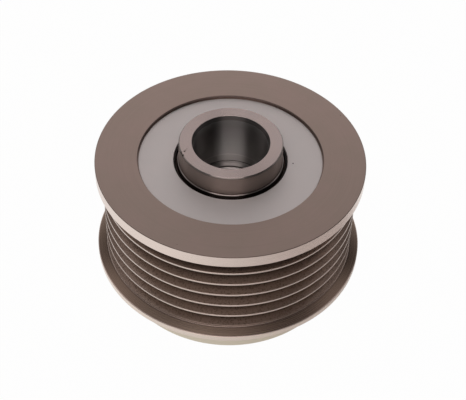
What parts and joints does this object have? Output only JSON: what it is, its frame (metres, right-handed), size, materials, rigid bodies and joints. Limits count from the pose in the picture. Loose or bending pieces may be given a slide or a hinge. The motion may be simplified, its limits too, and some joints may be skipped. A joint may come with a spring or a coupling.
{
  "type": "alternator pulley",
  "caption": "Grooved belt pulley for an alternator, running on ball bearings round a threaded hub with a one-way roller clutch between them.",
  "frame": {"origin": "centre of the front face of the rim's spigot, which the pulley stands on", "axes": "+Z along the spin axis, from the front face towards the alternator; X and Y are free"},
  "size_m": [0.063, 0.063, 0.0398],
  "materials": {
    "rim_steel": "turned and plated steel, faint brown tone",
    "hub_steel": "ground and plated steel",
    "shield_steel": "pressed steel sheet, satin grey",
    "seal_rubber": "black nitrile rubber",
    "race_steel": "hardened and ground steel",
    "ball_steel": "polished bearing steel",
    "cage_plastic": "natural glass-filled nylon",
    "spring_steel": "spring steel strip"
  },
  "bodies": {
    "hub": {"hub_shaft": "hub_steel", "front_bearing_inner_ring": "race_steel", "rear_bearing_inner_ring": "race_steel", "clutch_cam_ring": "race_steel", "clutch_rollers": "ball_steel", "clutch_cage": "cage_plastic", "clutch_springs": "spring_steel"},
    "rim": {"pulley_rim": "rim_steel", "rear_shield": "shield_steel", "rear_seal_lip": "seal_rubber", "clutch_outer_race": "race_steel", "front_bearing_outer_ring": "race_steel", "front_bearing_seal": "seal_rubber", "rear_bearing_outer_ring": "race_steel", "rear_bearing_seal": "seal_rubber"},
    "front_cage": {"front_bearing_cage": "cage_plastic", "front_bearing_balls": "ball_steel"},
    "rear_cage": {"rear_bearing_cage": "cage_plastic", "rear_bearing_balls": "ball_steel"}
  },
  "joints": [
    {"name": "rim_spin", "type": "hinge", "parent": "hub", "child": "rim", "pos_m": [0, 0, 0.0185], "axis": [0, 0, 1], "continuous": true},
    {"name": "front_cage_spin", "type": "hinge", "parent": "hub", "child": "front_cage", "pos_m": [0, 0, 0.0095], "axis": [0, 0, 1], "continuous": true},
    {"name": "rear_cage_spin", "type": "hinge", "parent": "hub", "child": "rear_cage", "pos_m": [0, 0, 0.0275], "axis": [0, 0, 1], "continuous": true}
  ],
  "couplings": [
    {"joint": "front_cage_spin", "follows": "rim_spin", "ratio": 0.574},
    {"joint": "rear_cage_spin", "follows": "rim_spin", "ratio": 0.574}
  ]
}
